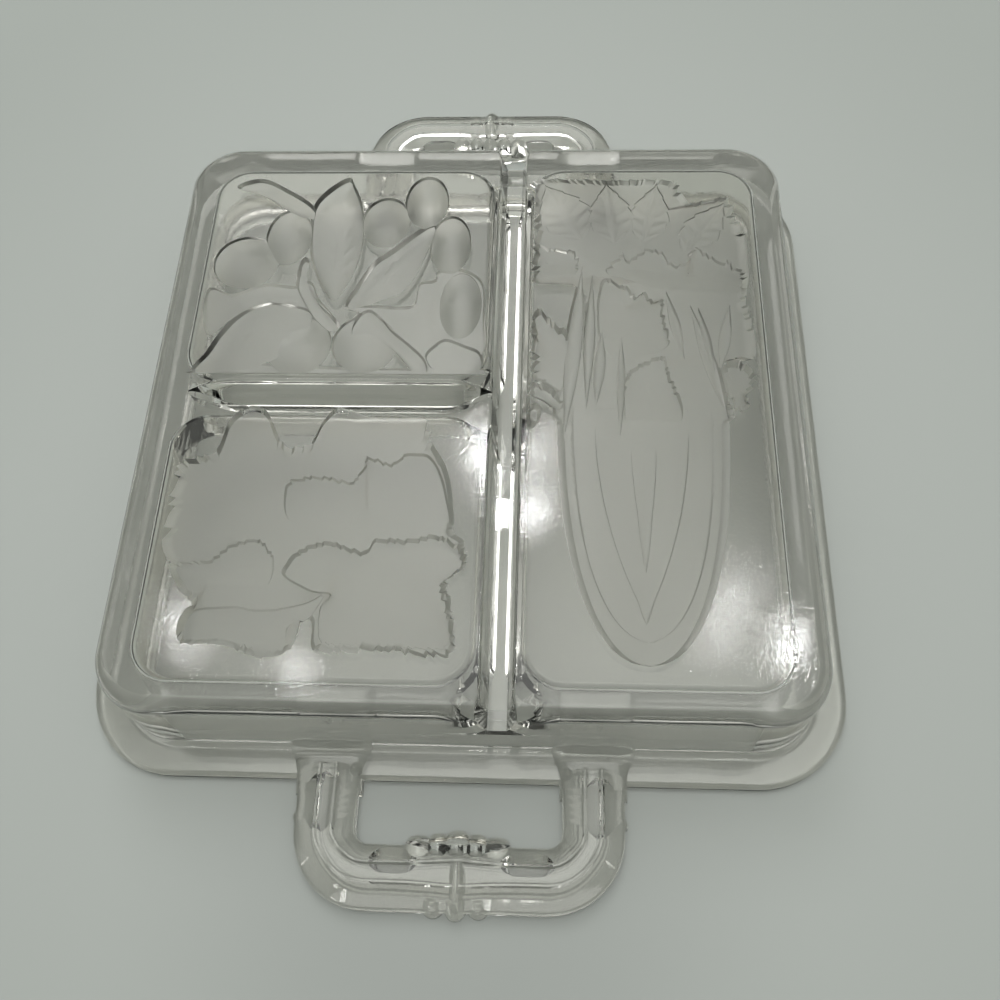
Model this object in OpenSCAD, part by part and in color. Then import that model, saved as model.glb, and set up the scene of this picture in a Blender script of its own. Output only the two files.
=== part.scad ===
// Three-part relish tray of pressed glass, drawn upside down as it is photographed:
// it rests on the face of its rim and on its two handles, with the base on top.
// X runs across the tray, Y from the front handle to the rear one, Z up.
// The origin is the centre of the tray on the surface that it rests on.

/* [Basin] */
// Width of the base across its side walls
base_w = 224; // [200:1:260]
// Length of the base across its end walls
base_l = 224; // [200:1:260]
// Height from the rim face to the base
tray_h = 38.5; // [34:0.5:48]
// Radius of the base corners, seen from above
base_corner_r = 19; // [17:0.5:28]
// How far each outer wall leans out on its way down to the rim
wall_flare = 1.2; // [0.2:0.1:3]
// Radius of the shoulder where the walls meet the base
shoulder_r = 5; // [3:0.5:8]
// Thickness of the walls at the rim face
wall_rim_t = 8; // [7:0.25:9]
// Thickness of the walls where they reach the floor
wall_floor_t = 10; // [8.5:0.25:12]
// Thickness of the floor
floor_t = 5; // [4:0.25:7]
// Radius of the hollow edge where floor and walls meet
floor_fillet_r = 2.5; // [1.5:0.25:4]
// Radius of the compartment corners at the floor, seen from above
pocket_corner_r = 13; // [9:0.5:16]

/* [Rim] */
// How far the rim reaches out past the base
rim_reach = 12; // [9:0.5:18]
// Thickness of the rim
rim_t = 4.5; // [4:0.25:6]
// Radius of the rim's outer edge
rim_edge_r = 1.9; // [1:0.1:1.9]
// Radius of the hollow where the walls rise from the rim
foot_fillet_r = 2.5; // [1:0.25:3]

/* [Dividers] */
// Place of the long divider, to the right of the middle
divider_x = 12; // [-20:0.5:30]
// Place of the cross divider, behind the middle
divider_y = -1; // [-30:0.5:30]
// Width of a divider at the floor
divider_w = 14; // [13:0.25:18]
// Height of the bevels along both sides of a divider's crest
crest_bevel = 4; // [1:0.25:4.5]
// How far the crests lie inside the rim face
crest_drop = 12.5; // [9:0.5:15]
// Width of the hollow in a divider, at the base
groove_w = 9.2; // [7:0.2:9.6]
// Width of that hollow at its bottom
groove_bottom_w = 6.2; // [5:0.2:7]
// Radius of the hollow's lips
groove_lip_r = 1.2; // [0.5:0.1:1.8]
// Thickness of glass between the hollow and the crest
groove_cover_t = 12; // [5:0.25:13]
// Where the flare of the long hollow's mouths starts, in from the end of the base
mouth_depth = 10.4; // [9.6:0.2:11.6]
// Angle that each side of a flared mouth opens by
mouth_angle = 12; // [10:1:16]
// How much narrower the turned cuts of a mouth are, to each side, than the hollow
mouth_inset = 1; // [0.8:0.1:1.2]
// Glass left between the cross hollow's closed end and the outside
cross_groove_margin = 14.4; // [13:0.2:18]

/* [Handles] */
// Depth of the grip opening, from the rim to the bar
grip_depth = 19.2; // [16:0.2:28]
// Width of a handle across its legs
handle_w = 103.6; // [90:0.2:120]
// Width of the handle's band
band_w = 19.6; // [16:0.2:22]
// Height of the handle's band
band_h = 8.4; // [7:0.2:10]
// Height of the band at its outer and inner edges
band_edge_h = 4.2; // [3:0.2:6]
// Radius of the opening's corners at the bar
grip_corner_r = 4.4; // [3:0.2:8]
// Distance between the two fine ridges along the band
ridge_gap = 5.2; // [3:0.2:8]
// Width of each ridge
ridge_w = 1.4; // [0.8:0.1:2]
// Height of the ridges over the band
ridge_h = 0.6; // [0.3:0.1:0.7]
// Width of a leg's root on the wall
root_w = 27.4; // [23:0.2:34]
// Height of the roots
root_h = 6.4; // [5:0.2:8]
// Radius of the scroll on the inner side of each root
scroll_r = 2.6; // [1.5:0.1:3.5]

/* [Handle crest] */
// Number of flutes across the middle of the bar
flutes = 5; // [3:2:7]
// Distance between flutes
flute_pitch = 6.2; // [5.5:0.1:8]
// Radius of a flute
flute_r = 3.4; // [3:0.1:4]
// How far the middle flute stands into the grip opening
crest_reach = 5; // [4:0.1:7]
// How much shorter each next flute is
flute_step = 1.1; // [0.4:0.1:1.3]
// Number of beads on the outer edge
beads = 3; // [1:2:5]
// Distance between beads
bead_pitch = 6.9; // [6:0.1:8]
// Radius of a bead
bead_r = 3.9; // [3:0.1:4.2]
// How far the beads stand out past the bar
bead_reach = 2.2; // [1:0.1:3]

/* [Intaglio] */
// Depth of the frosted recesses in the base
recess_depth = 2; // [0.8:0.1:2.2]
// Plain border between a recess and the edge of its floor
recess_border = 1.2; // [0.5:0.1:3]
// Teeth along each side of a toothed leaf
leaf_teeth = 7; // [4:1:10]

/* [Hidden] */
$fn = 72;

glass = [0.80, 0.83, 0.80, 0.55];
frosted = [0.86, 0.87, 0.84, 0.80];

// one overrun for every cut
over = 1;
// what is trimmed off the thin edge of a web
web_trim = 0.5;
// how far inside a compartment's side the cut of its crest lip starts
lip_start = 0.2;
// steps across the band's crown
crown_steps = 14;

// heights
floor_z = tray_h - floor_t;
crest_z = crest_drop;
groove_z = crest_z + groove_cover_t;
split_z = rim_t + foot_fillet_r;

// corner centres of the outer skin, and of the cavity inside the walls
outer_cx = base_w / 2 - base_corner_r;
outer_cy = base_l / 2 - base_corner_r;
inner_cx = base_w / 2 - wall_floor_t - pocket_corner_r;
inner_cy = base_l / 2 - wall_floor_t - pocket_corner_r;
inner_flare = wall_floor_t - wall_rim_t + wall_flare;

// distance of each skin from its corner centres, at a height
function outer_at(z) = base_corner_r + wall_flare * (tray_h - z) / tray_h;
function inner_at(z) = pocket_corner_r + inner_flare * (floor_z - z) / floor_z;
floor_edge = inner_at(floor_z - floor_fillet_r) - floor_fillet_r;

// the compartments between walls and dividers, as left, right, front and rear sides
wall_x = base_w / 2 - wall_floor_t;
wall_y = base_l / 2 - wall_floor_t;
half_divider = divider_w / 2;
olive_room = [-wall_x, divider_x - half_divider, divider_y + half_divider, wall_y];
leaf_room = [-wall_x, divider_x - half_divider, -wall_y, divider_y - half_divider];
celery_room = [divider_x + half_divider, wall_x, -wall_y, wall_y];
split_x = divider_x - half_divider - pocket_corner_r;
// the webs stop just short of the line where their curve would thin to nothing
web_w = divider_w + 2 * (pocket_corner_r - web_trim);

// the handle's centre lines
leg_x = handle_w / 2 - band_w / 2;
rim_y = base_l / 2 + rim_reach;
bar_y = rim_y + grip_depth + band_w / 2;
bend_r = grip_corner_r + band_w / 2;
root_y = outer_cy + outer_at(split_z);

// Olives: centre and half width and height, as shares of half the compartment
olive_shares = [
    [-0.68, 0.01, 0.22, 0.24], [-0.42, 0.26, 0.15, 0.26], [0.26, 0.40, 0.17, 0.24],
    [0.52, 0.65, 0.16, 0.21], [0.70, 0.20, 0.14, 0.27], [0.80, -0.39, 0.15, 0.27],
    [-0.31, -0.71, 0.17, 0.23], [0.19, -0.70, 0.21, 0.24]
];
// Leaves and stems: base, tip and half width, as shares of half the compartment
olive_leaf_shares = [
    [0.00, -0.35, -0.04, 0.88, 0.19], [0.07, -0.35, 0.60, 0.41, 0.15],
    [0.42, -0.65, 0.95, -0.80, 0.13], [-0.26, -0.41, -0.92, -0.92, 0.22],
    [0.10, -0.40, 0.60, -0.96, 0.12]
];
olive_stem_shares = [
    [-0.70, 0.82, 0.00, 0.30, 0.07], [-0.62, 0.04, 0.14, -0.66, 0.08],
    [-0.10, -0.60, 0.80, -0.06, 0.08]
];
leaf_spray_shares = [
    [-0.25, -0.25, -0.50, 0.98, 0.40], [0.05, -0.50, 0.36, 0.98, 0.50],
    [0.05, -0.10, -0.96, 0.25, 0.44], [0.15, -0.05, -0.85, -0.92, 0.46],
    [-0.15, 0.15, 0.78, -0.96, 0.54], [-0.25, -0.10, 0.97, 0.12, 0.46]
];
celery_leaf_shares = [
    [-0.20, 0.30, -0.93, 0.92, 0.46], [-0.06, 0.30, -0.25, 0.98, 0.52],
    [0.04, 0.27, 0.36, 0.88, 0.44], [0.00, 0.27, 0.93, 0.67, 0.46],
    [-0.05, 0.18, -0.98, 0.46, 0.38], [0.00, 0.08, 0.92, 0.40, 0.34],
    [-0.15, -0.06, -0.98, 0.10, 0.26], [0.20, -0.06, 0.95, 0.07, 0.22],
    [-0.25, -0.26, -0.98, -0.17, 0.20]
];
// The bunch of stalks: foot, top and half widths of its round foot and of its middle
bunch_shares = [-0.07, -0.95, 0.45, 0.28, 0.68];
tooth_share = 0.12;
leaf_steps = 18;

// Carries a profile round a rectangle with rounded corners. The profile's x is its
// distance out from the rectangle of corner centres, its y is the height.
module carried(cx, cy) {
    for (q = [0 : 3]) {
        reach = q % 2 == 0 ? cx : cy;
        side = q % 2 == 0 ? cy : cx;
        rotate([0, 0, 90 * q]) {
            translate([reach, side, 0]) rotate_extrude(angle = 90) children();
            translate([reach, side, 0]) rotate([90, 0, 0]) linear_extrude(2 * side) children();
        }
    }
}

// An upright block with rounded corners
module rounded_block(cx, cy, r, z0, z1) {
    carried(cx, cy) translate([0, z0]) square([r, z1 - z0]);
    translate([-cx, -cy, z0]) cube([2 * cx, 2 * cy, z1 - z0]);
}

// The wall's outer half above the rim: a leaning skin and a round shoulder
module wall_profile() {
    sz = tray_h - shoulder_r;
    sx = outer_at(sz) - shoulder_r;
    polygon([[0, split_z], [outer_at(split_z), split_z], [outer_at(sz), sz], [0, sz]]);
    translate([0, sz]) square([sx, shoulder_r]);
    intersection() {
        translate([sx, sz]) circle(shoulder_r);
        translate([sx, sz]) square([shoulder_r, shoulder_r]);
    }
}

// The rim's section: a flat lip with round edges and a hollow up to the wall
module rim_profile() {
    lip = base_corner_r + rim_reach - rim_edge_r;
    foot = outer_at(split_z);
    square([lip, rim_t]);
    translate([0, rim_edge_r]) square([lip + rim_edge_r, rim_t - 2 * rim_edge_r]);
    for (z = [rim_edge_r, rim_t - rim_edge_r]) translate([lip, z]) circle(rim_edge_r);
    difference() {
        square([foot + foot_fillet_r, split_z]);
        translate([foot + foot_fillet_r, split_z]) circle(foot_fillet_r);
    }
}

// What the walls leave free: leaning sides and a hollow edge along the floor
module cavity_profile(z0) {
    r = floor_fillet_r;
    z1 = floor_z - r;
    polygon([[0, z0], [inner_at(z0), z0], [inner_at(z1), z1], [0, z1]]);
    translate([0, z1]) square([floor_edge, r]);
    intersection() {
        translate([floor_edge, z1]) circle(r);
        translate([floor_edge, z1]) square([r, r]);
    }
}

// A whole cavity, from z0 to the floor
module cavity(cx, cy, z0) {
    carried(cx, cy) cavity_profile(z0);
    translate([-cx, -cy, z0]) cube([2 * cx, 2 * cy, floor_z - z0]);
}

module room_place(room) {
    translate([(room[0] + room[1]) / 2, (room[2] + room[3]) / 2, 0]) children();
}

function room_cx(room) = (room[1] - room[0]) / 2 - pocket_corner_r;
function room_cy(room) = (room[3] - room[2]) / 2 - pocket_corner_r;

// The compartment that the plunger pressed, with bevelled lips along its divider crests
module pocket(room) {
    room_place(room) cavity(room_cx(room), room_cy(room), crest_z - over);
    intersection() {
        room_place(room) carried(room_cx(room), room_cy(room)) crest_lip();
        cavity(inner_cx, inner_cy, crest_z - over);
    }
}

// A bevel at half a right angle, from the compartment's side down past the crest
module crest_lip() {
    side = inner_at(crest_z + crest_bevel) - lip_start;
    polygon([[side, crest_z - over], [side + crest_bevel + over, crest_z - over],
        [side, crest_z + crest_bevel]]);
}

// The hollow of a divider in section: leaning sides and rounded lips at the base
module groove_half(inset) {
    lip = groove_w / 2 - inset;
    deep = groove_bottom_w / 2 - inset;
    polygon([[0, groove_z], [deep, groove_z], [lip, tray_h], [lip, tray_h + over],
        [0, tray_h + over]]);
    difference() {
        translate([lip - groove_lip_r, tray_h - groove_lip_r])
            square([2 * groove_lip_r, groove_lip_r + over]);
        translate([lip + groove_lip_r, tray_h - groove_lip_r]) circle(groove_lip_r);
    }
}

module groove_profile(inset) {
    groove_half(inset);
    mirror([1, 0]) groove_half(inset);
}

// The long hollow runs out through both end walls, where its sides flare
module long_groove() {
    reach = base_l / 2 + over;
    translate([divider_x, reach, 0]) rotate([90, 0, 0]) linear_extrude(2 * reach) groove_profile(0);
    for (end = [0, 180]) for (turn = [-mouth_angle, mouth_angle])
        translate([divider_x, 0, 0]) rotate([0, 0, end])
            translate([0, base_l / 2 - mouth_depth, 0]) rotate([0, 0, turn])
                translate([0, mouth_depth + 2 * over, 0]) rotate([90, 0, 0])
                    linear_extrude(mouth_depth + 2 * over) groove_profile(mouth_inset);
}

// The cross hollow is closed by a round end at the wall and runs into the long one
module cross_groove() {
    x0 = -base_w / 2 + cross_groove_margin + groove_w / 2;
    translate([x0, divider_y, 0]) {
        rotate([90, 0, 90]) linear_extrude(divider_x - x0) groove_profile(0);
        rotate([0, 0, 90]) rotate_extrude(angle = 180) groove_half(0);
    }
}

// Everything between the compartments, before it is split into the two dividers
module dividers() {
    difference() {
        union() {
            cavity(inner_cx, inner_cy, crest_z);
            rounded_block(inner_cx, inner_cy, floor_edge, floor_z - over, tray_h);
        }
        for (room = [olive_room, leaf_room, celery_room]) {
            pocket(room);
            room_place(room) rounded_block(room_cx(room), room_cy(room), floor_edge,
                floor_z - over, tray_h + over);
        }
        long_groove();
        cross_groove();
    }
}

// The plan of both legs' roots, from the wall to the rim's edge
module root_plan() {
    tip = rim_y + over;
    for (side = [-1, 1]) polygon([
        [side * leg_x - root_w / 2, -root_y], [side * leg_x + root_w / 2, -root_y],
        [side * leg_x + band_w / 2, -tip], [side * leg_x - band_w / 2, -tip]
    ]);
    scroll_plan();
}

// The scrolls on the inner sides of the two roots
module scroll_plan() {
    for (side = [-1, 1])
        translate([side * (leg_x - band_w / 2 + scroll_r / 2), scroll_r - rim_y]) circle(scroll_r);
}

function crown_at(share) = band_edge_h + (band_h - band_edge_h) * sin(180 * share);

// The band's section: flat below, crowned above, with two fine ridges
module band_profile() {
    half = band_w / 2;
    polygon(concat([[half, 0], [-half, 0]],
        [for (i = [0 : crown_steps]) [band_w * i / crown_steps - half, crown_at(i / crown_steps)]]));
    for (side = [-1, 1]) translate([side * ridge_gap / 2,
        crown_at(0.5 + ridge_gap / 2 / band_w) + ridge_h - ridge_w / 2]) circle(ridge_w / 2);
}

// The band goes out along one leg, across the bar and back along the other leg
module band() {
    bend_x = leg_x - bend_r;
    bend_y = bar_y - bend_r;
    for (side = [-1, 1]) translate([side * leg_x, -root_y, 0])
        rotate([90, 0, 0]) linear_extrude(bend_y - root_y) band_profile();
    translate([-bend_x, -bar_y, 0]) rotate([90, 0, 90]) linear_extrude(2 * bend_x) band_profile();
    for (bend = [[-bend_x, 180], [bend_x, 270]]) translate([bend[0], -bend_y, 0])
        rotate([0, 0, bend[1]]) rotate_extrude(angle = 90) translate([bend_r, 0]) band_profile();
}

// A flute lies across the bar: an upright slab with a round ridge and round ends
module flute(y0, y1) {
    top = band_h - flute_r + ridge_h;
    translate([-flute_r, y0, 0]) cube([2 * flute_r, y1 - y0, top]);
    translate([0, y0, top]) rotate([-90, 0, 0]) cylinder(h = y1 - y0, r = flute_r);
    for (y = [y0, y1]) translate([0, y, 0]) {
        cylinder(h = top, r = flute_r);
        translate([0, 0, top]) sphere(flute_r);
    }
}

// The shell in the middle of the bar: flutes inside, beads outside
module crest() {
    bar_inside = -bar_y + band_w / 2;
    bar_outside = -bar_y - band_w / 2;
    for (i = [0 : flutes - 1]) {
        away = abs(i - (flutes - 1) / 2);
        reach = crest_reach - flute_step * away;
        translate([flute_pitch * (i - (flutes - 1) / 2), 0, 0])
            flute(bar_outside + flute_r, bar_inside + reach - flute_r);
    }
    for (i = [0 : beads - 1])
        translate([bead_pitch * (i - (beads - 1) / 2), bar_outside - bead_reach + bead_r, bead_r])
            sphere(bead_r);
}

module handle() {
    band();
    crest();
    linear_extrude(root_h) root_plan();
    linear_extrude(band_h) scroll_plan();
}

module rim() {
    color(glass) difference() {
        carried(outer_cx, outer_cy) rim_profile();
        cavity(inner_cx, inner_cy, -over);
        for (end = [0, 180]) rotate([0, 0, end])
            translate([0, 0, -over]) linear_extrude(split_z + 2 * over) root_plan();
    }
}

module basin_wall() {
    color(glass) difference() {
        carried(outer_cx, outer_cy) wall_profile();
        cavity(inner_cx, inner_cy, split_z - over);
        rounded_block(inner_cx, inner_cy, floor_edge, floor_z - over, tray_h + over);
        long_groove();
    }
}

function half_room(room) = [(room[1] - room[0]) / 2, (room[3] - room[2]) / 2];

function spot(room, share_x, share_y) = [share_x * half_room(room)[0], share_y * half_room(room)[1]];

// An olive is an oval, drawn point by point
module olive(room, shares) {
    half = half_room(room);
    translate(spot(room, shares[0], shares[1])) polygon([for (i = [0 : leaf_steps - 1])
        let (a = 360 * i / leaf_steps) [shares[2] * half[0] * cos(a), shares[3] * half[1] * sin(a)]]);
}

function leaf_side(reach, half, teeth) =
    let (n = teeth > 0 ? 2 * teeth : leaf_steps / 2)
    [for (i = [1 : n - 1])
        let (t = i / n, w = half * sin(180 * pow(t, 0.8)))
        [reach * t, teeth > 0 && i % 2 == 0 ? w * (1 - 2 * tooth_share) : w]];

// A leaf runs from its base to its tip, with or without teeth along its sides
module leaf(room, shares, teeth) {
    base = spot(room, shares[0], shares[1]);
    tip = spot(room, shares[2], shares[3]);
    side = leaf_side(norm(tip - base), shares[4] * half_room(room)[0], teeth);
    n = len(side);
    translate(base) rotate(atan2(tip[1] - base[1], tip[0] - base[0])) polygon(concat(
        [[0, 0]], side, [[norm(tip - base), 0]],
        [for (i = [n - 1 : -1 : 0]) [side[i][0], -side[i][1]]]));
}

// The bunch widens from its foot in a quarter wave and then runs up straight
module bunch(room) {
    half = half_room(room);
    foot = spot(room, bunch_shares[0], bunch_shares[1]);
    top = bunch_shares[2] * half[1];
    side = [for (i = [0 : leaf_steps])
        let (t = i / leaf_steps, a = asin(bunch_shares[3] / bunch_shares[4]))
        [bunch_shares[4] * half[0] * sin(a + (90 - a) * t), foot[1] * (1 - t) + top * t * t / 2]];
    polygon(concat([for (p = side) [foot[0] + p[0], p[1]]],
        [[foot[0] + side[leaf_steps][0], top], [foot[0] - side[leaf_steps][0], top]],
        [for (i = [leaf_steps : -1 : 0]) [foot[0] - side[i][0], side[i][1]]]));
}

// What a recess may cover: the floor within its plain border
module recess_field(room) {
    r = floor_edge - recess_border;
    cx = room_cx(room);
    cy = room_cy(room);
    translate([-cx - r, -cy]) square([2 * (cx + r), 2 * cy]);
    translate([-cx, -cy - r]) square([2 * cx, 2 * (cy + r)]);
    for (x = [-cx, cx]) for (y = [-cy, cy]) translate([x, y]) circle(r);
}

// A compartment's floor, with its recess pressed into the base
module floor_plate(room) {
    room_place(room) difference() {
        rounded_block(room_cx(room), room_cy(room), floor_edge, floor_z, tray_h);
        translate([0, 0, tray_h - recess_depth]) linear_extrude(recess_depth + over)
            intersection() {
                recess_field(room);
                union() children();
            }
    }
}

module olive_floor() {
    color(frosted) floor_plate(olive_room) {
        for (shares = olive_shares) olive(olive_room, shares);
        for (shares = olive_leaf_shares) leaf(olive_room, shares, 0);
        for (shares = olive_stem_shares) leaf(olive_room, shares, 0);
    }
}

module leaf_floor() {
    color(frosted) floor_plate(leaf_room)
        for (shares = leaf_spray_shares) leaf(leaf_room, shares, leaf_teeth);
}

module celery_floor() {
    color(frosted) floor_plate(celery_room) {
        bunch(celery_room);
        for (shares = celery_leaf_shares) leaf(celery_room, shares, leaf_teeth);
    }
}

module long_divider() {
    color(glass) intersection() {
        dividers();
        translate([split_x, -base_l / 2, 0]) cube([web_w + web_trim, base_l, tray_h]);
    }
}

module cross_divider() {
    color(glass) intersection() {
        dividers();
        translate([split_x - base_w, divider_y - web_w / 2, 0]) cube([base_w, web_w, tray_h]);
    }
}

module front_handle() {
    color(glass) handle();
}

module rear_handle() {
    color(glass) rotate([0, 0, 180]) handle();
}

rim();
basin_wall();
olive_floor();
leaf_floor();
celery_floor();
long_divider();
cross_divider();
front_handle();
rear_handle();
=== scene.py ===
# %% [markdown]
# # A relish tray of pressed glass, lying base up
#
# The tray is one piece of clear glass, pressed in one stroke between a mould and a plunger.
# It lies upside down, so its flat base faces the camera, with frosted plants sunk into it.
# The lesson builds it as one closed skin, lights it softly from above and photographs it.

import math

import bmesh
import bpy
import numpy as np
from mathutils import Matrix, Vector


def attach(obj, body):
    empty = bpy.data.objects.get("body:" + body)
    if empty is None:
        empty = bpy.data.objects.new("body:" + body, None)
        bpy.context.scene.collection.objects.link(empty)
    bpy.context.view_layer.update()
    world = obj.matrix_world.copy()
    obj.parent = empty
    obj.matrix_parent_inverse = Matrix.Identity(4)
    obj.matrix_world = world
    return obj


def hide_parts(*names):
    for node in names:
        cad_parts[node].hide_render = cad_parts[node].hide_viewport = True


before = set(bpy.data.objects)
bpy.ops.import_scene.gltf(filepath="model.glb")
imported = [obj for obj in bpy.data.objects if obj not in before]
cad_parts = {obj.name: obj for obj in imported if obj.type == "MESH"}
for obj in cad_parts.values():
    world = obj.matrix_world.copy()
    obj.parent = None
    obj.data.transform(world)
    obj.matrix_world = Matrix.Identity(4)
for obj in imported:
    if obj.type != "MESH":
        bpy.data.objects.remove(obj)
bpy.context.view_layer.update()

# %% [markdown]
# ## Real sizes
#
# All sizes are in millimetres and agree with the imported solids, which were drawn first.
# Blender works in metres, so points are scaled once, where they enter a mesh.

# %% Sizes of the tray
MM = 0.001  # metres in a millimetre

# Heights above the surface that the tray lies on.
BASE_Z = 38.5  # the flat base, on top as the tray lies here
FLOOR_Z = 33.5  # the other side of the base, the floor of the compartments
CREST_Z = 12.5  # the crests of the dividers
GROOVE_Z = 24.5  # the bottom of the dividers' hollows

# The outer skin. A corner centre is measured from the tray's middle, along x and y.
OUTER_C = 93.0  # corner centre
OUTER_R = 19.0  # corner radius at the base
WALL_FLARE = 1.2  # how far the wall leans out down to the rim
SHOULDER_R = 5.0  # round shoulder of the base
RIM_T = 4.5  # thickness of the flat rim
RIM_EDGE_R = 1.9  # round edge of the rim
RIM_REACH = 12.0  # how far the rim stands out past the corner radius
FOOT_R = 2.5  # hollow between rim and wall

# The inner skin.
INNER_C = 89.0  # corner centre of the well
POCKET_R = 13.0  # corner radius at the floor
INNER_FLARE = 3.2  # how far the inner wall opens down to the rim
FILLET_R = 2.5  # quarter round between wall and floor
BEVEL = 4.0  # height and width of the bevel over a crest

# Each compartment's lowest and highest x, then its lowest and highest y.
ROOMS = {
    "olive": (-102.0, 5.0, 6.0, 102.0),
    "leaf": (-102.0, 5.0, -102.0, -8.0),
    "celery": (19.0, 102.0, -102.0, 102.0),
}
DIVIDER = (12.0, -1.0)  # x of the long divider's middle, y of the cross divider's
WALL_Y = 112.0  # outside of the end walls at the base


def outer_at(z):
    """Distance of the outer skin from its corner centres: the wall leans out by WALL_FLARE
    over its height."""
    return OUTER_R + WALL_FLARE * (BASE_Z - z) / BASE_Z


def inner_at(z):
    """Distance of the inner skin from its corner centres: it opens by INNER_FLARE from the
    floor to the rim."""
    return POCKET_R + INNER_FLARE * (FLOOR_Z - z) / FLOOR_Z


print("wall at the rim", round(outer_at(0) - OUTER_R, 2), "mm wider than at the base")

# %% [markdown]
# ## Closed skins from rings of points
#
# Every form of the tray is a stack of rings: a profile carried round a rounded rectangle, or a
# section carried along a path. The rings are computed as whole arrays, neighbours are joined by
# quads, and a cap closes each end. A closed skin is what a Boolean and a glass shader both need.

# %% A closed skin
def smooth(x, a, b):
    """Smooth step: 0 below a, 1 above b, and 3t^2 - 2t^3 between them."""
    t = np.clip((x - a) / (b - a), 0, 1)
    return t * t * (3 - 2 * t)


def skin(name, rings):
    """A closed mesh object from rings of points, an array (rings, around, 3) in mm."""
    count, around, _ = rings.shape
    at = np.arange((count - 1) * around).reshape(count - 1, around)
    nxt = np.roll(at, -1, 1)
    quads = np.stack([at, nxt, nxt + around, at + around], -1).reshape(-1, 4)
    caps = [list(range(around))[::-1], list(range((count - 1) * around, count * around))]
    mesh = bpy.data.meshes.new(name)
    mesh.from_pydata((rings.reshape(-1, 3) * MM).tolist(), [], quads.tolist() + caps)
    bm = bmesh.new()
    bm.from_mesh(mesh)
    bmesh.ops.recalc_face_normals(bm, faces=bm.faces)
    bm.to_mesh(mesh)
    bm.free()
    obj = bpy.data.objects.new(name, mesh)
    bpy.context.scene.collection.objects.link(obj)
    return obj


print("skins are made in mm and stored in metres, factor", MM)

# %% [markdown]
# ### Round a rounded rectangle
#
# The wall, the well and the pockets follow rounded rectangles. Stations along one carry a normal
# each, and a profile of distances and heights is set up at every station at once.

# %% A profile carried round
def stations(arc, side):
    """Round a rounded rectangle: shares of the corner centre and outward normals.
    On a corner the normal turns a quarter, on a side the share slides to the next corner."""
    corners = np.array([[1, 1], [-1, 1], [-1, -1], [1, -1]], float)
    share, normal = [], []
    for q in range(4):
        a = (q + np.linspace(0, 1, arc + 1)) * math.pi / 2
        turn = np.stack([np.cos(a), np.sin(a)], 1)
        u = np.linspace(0, 1, side + 1)[1:-1, None]
        share += [np.repeat(corners[q : q + 1], arc + 1, 0),
                  corners[q] + (corners[(q + 1) % 4] - corners[q]) * u]
        normal += [turn, np.repeat(turn[-1:], side - 1, 0)]
    return np.concatenate(share), np.concatenate(normal)


def carried(name, centre, half, profile, arc, side, lift=None):
    """A profile of (distance, height) rows carried round the rectangle of corner centres.
    Point = centre + share * half + normal * distance, at the profile's height.
    lift(normals) may give each station an extra distance per row, as an array (rows, stations)."""
    share, normal = stations(arc, side)
    profile = np.array(profile, float)
    reach = profile[:, :1] + (lift(normal) if lift else 0) + np.zeros((1, len(normal)))
    flat = np.array(centre) + share * np.array(half) + normal * reach[..., None]
    height = np.broadcast_to(profile[:, 1:2], reach.shape)[..., None]
    return skin(name, np.concatenate([flat, height], -1))


def quarter(centre, r, a0, a1, steps):
    """Points on a circle's arc from angle a0 to a1 in degrees."""
    a = np.radians(np.linspace(a0, a1, steps + 1))
    return np.stack([centre[0] + r * np.cos(a), centre[1] + r * np.sin(a)], 1)


print("stations round the outer skin", len(stations(28, 10)[0]))

# %% [markdown]
# ## The outer skin
#
# Outside, the tray is a lip with a round edge, a hollow at the foot of the wall, a wall that
# leans by a hair so that it leaves the mould, and a round shoulder up to the flat base.

# %% Lip, foot, wall and shoulder
lip = OUTER_R + RIM_REACH - RIM_EDGE_R
foot_z = RIM_T + FOOT_R
foot = outer_at(foot_z)
shoulder_z = BASE_Z - SHOULDER_R
shoulder = outer_at(shoulder_z) - SHOULDER_R
outer_profile = np.concatenate([
    quarter((lip, RIM_EDGE_R), RIM_EDGE_R, -90, 0, 7),
    quarter((lip, RIM_T - RIM_EDGE_R), RIM_EDGE_R, 0, 90, 7),
    quarter((foot + FOOT_R, foot_z), FOOT_R, 270, 180, 7),
    [(outer_at(z), z) for z in (14.0, 22.0, 30.0)],
    quarter((shoulder, shoulder_z), SHOULDER_R, 0, 90, 12),
])
tray = carried("tray_glass", (0, 0), (OUTER_C, OUTER_C), outer_profile, arc=28, side=10)
print("outer skin", len(tray.data.vertices), "points")

# %% [markdown]
# ## What the plunger pressed
#
# From below, one shallow well reaches up to the dividers' crests, and three pockets go on to the
# floor. Each pocket widens over its divider crests in a bevel, but not along the walls. The two
# bevels of a crest work as a roof prism: they throw the ceiling's light back up as bright strips.

# %% Well and pockets
BELOW_Z = -1.0  # cutters start below the tray, so that they cut clean through its face
APART = 0.02  # keeps the well's wall off the pockets' walls: shared faces upset a Boolean
cutters = []
well = [(inner_at(z) - APART, z) for z in (BELOW_Z, 4.0, 8.0, CREST_Z)]
cutters.append(carried("well", (0, 0), (INNER_C, INNER_C), well, arc=24, side=8))


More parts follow.
